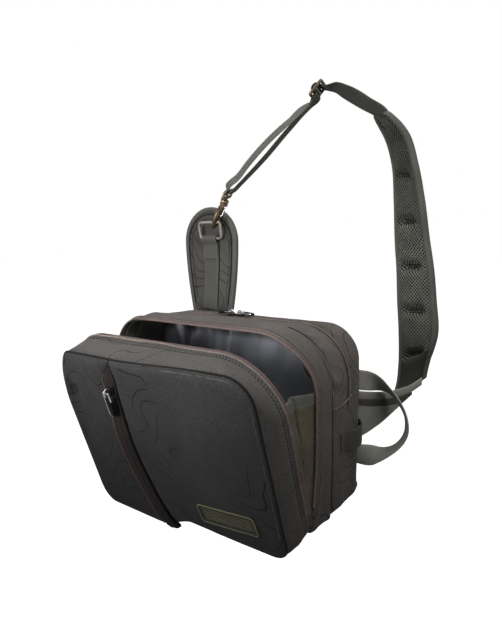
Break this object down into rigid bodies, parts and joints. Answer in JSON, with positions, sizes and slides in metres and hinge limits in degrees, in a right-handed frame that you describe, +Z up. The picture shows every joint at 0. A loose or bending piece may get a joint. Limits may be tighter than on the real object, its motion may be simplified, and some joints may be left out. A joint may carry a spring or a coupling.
{
  "type": "fishing sling bag",
  "caption": "Soft shoulder sling bag for lure fishing, hanging by its padded strap, with a deep front flap that stands partly open on folded side webs.",
  "frame": {"origin": "place under the upper strap webbing, beside the strap slider, where the bag hangs", "axes": "+Z up, +Y towards the wearer, +X to the right seen from the front of the bag"},
  "size_m": [0.3729, 0.3083, 0.5283],
  "materials": {
    "cloth": "matt woven polyester with a faint printed line pattern",
    "panel": "matt woven polyester over foam",
    "lining": "glossy coated lining",
    "web": "matt cloth",
    "tape": "ribbed webbing and binding tape",
    "zip": "zip tape with coil teeth",
    "mesh": "open air mesh over foam",
    "badge": "moulded, satin",
    "puller": "moulded, satin",
    "slider": "bright metal",
    "ring": "satin",
    "bronze": "bronze, satin",
    "steel": "bright wire"
  },
  "bodies": {
    "bag": {"body_front_band": "cloth", "body_middle_band": "cloth", "body_rear_band": "cloth", "back_panel": "cloth", "flap_gusset": "cloth", "strap_tongue": "cloth", "front_panel_left": "panel", "front_panel_right": "panel", "front_zip": "panel", "lining": "lining", "divider": "lining", "flap_back": "lining", "side_web_left": "web", "side_web_right": "web", "web_binding_left": "tape", "web_binding_right": "tape", "tongue_binding": "tape", "tongue_webbing": "tape", "strap_webbing": "tape", "pad_binding_left": "tape", "pad_binding_right": "tape", "strap_wing": "tape", "wing_binding": "tape", "carry_handle": "tape", "side_loop": "tape", "rim_zip": "zip", "rear_zip": "zip", "flap_zip": "zip", "shoulder_pad": "mesh", "badge": "badge", "front_zip_slider": "slider", "rear_zip_slider_left": "slider", "rear_zip_slider_right": "slider", "tongue_ring": "ring", "snap_hook": "bronze", "hook_eye": "bronze", "strap_slider": "bronze"},
    "front_zip_puller": {"front_zip_puller": "puller"},
    "rear_zip_puller_left": {"rear_zip_puller_left": "puller"},
    "rear_zip_puller_right": {"rear_zip_puller_right": "puller"},
    "hook_gate": {"hook_gate": "steel"}
  },
  "joints": [
    {"name": "front_puller_hinge", "type": "hinge", "parent": "bag", "child": "front_zip_puller", "pos_m": [-0.14313, -0.26534, -0.33053], "axis": [-0.9904, -0.0412, 0.1323], "range_deg": [0, 150]},
    {"name": "rear_puller_left_hinge", "type": "hinge", "parent": "bag", "child": "rear_zip_puller_left", "pos_m": [-0.124, -0.0735, -0.2659], "axis": [0, 1, 0], "range_deg": [0, 105]},
    {"name": "rear_puller_right_hinge", "type": "hinge", "parent": "bag", "child": "rear_zip_puller_right", "pos_m": [-0.11, -0.0735, -0.2659], "axis": [0, -1, 0], "range_deg": [0, 105]},
    {"name": "gate_hinge", "type": "hinge", "parent": "bag", "child": "hook_gate", "pos_m": [-0.15549, -0.0431, -0.12516], "axis": [-0.7995, -0.342, 0.4938], "range_deg": [0, 26], "stiffness_Nm_per_rad": 0.01, "springref_deg": -5.73}
  ]
}
